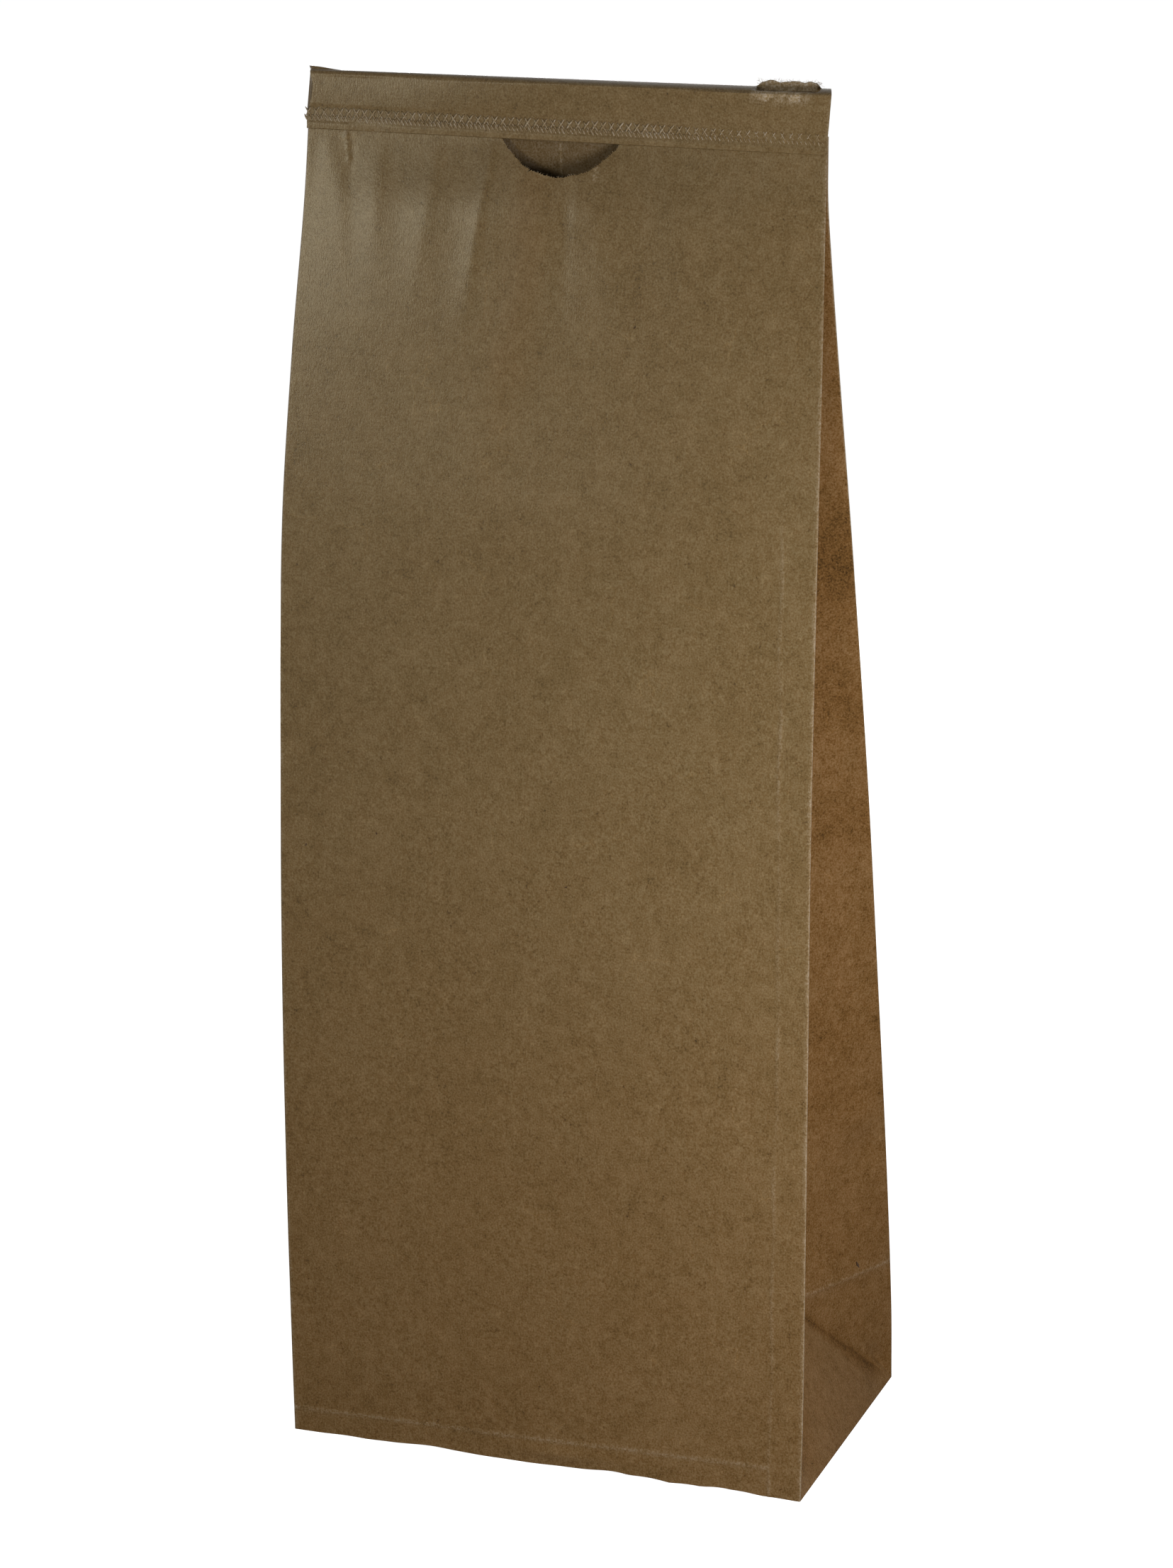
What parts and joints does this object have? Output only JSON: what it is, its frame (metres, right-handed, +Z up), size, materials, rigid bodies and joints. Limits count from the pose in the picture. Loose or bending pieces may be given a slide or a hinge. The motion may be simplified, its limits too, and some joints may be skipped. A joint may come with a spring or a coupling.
{
  "type": "brown paper bag",
  "caption": "Block-bottom brown kraft paper bag with side gussets, its top folded forward and crimped, and a thumb notch in the front.",
  "frame": {"origin": "under the middle of the flat base, on the surface the bag stands on", "axes": "+Z up the bag to its folded top, the front panel with the notch faces -Y, +X to the right seen from the front"},
  "size_m": [0.129, 0.0817, 0.3242],
  "materials": {
    "kraft_paper": "matt brown kraft, machine-glazed with a faint sheen, fibrous"
  },
  "bodies": {
    "root": {"paper_bag": "kraft_paper"}
  },
  "joints": []
}
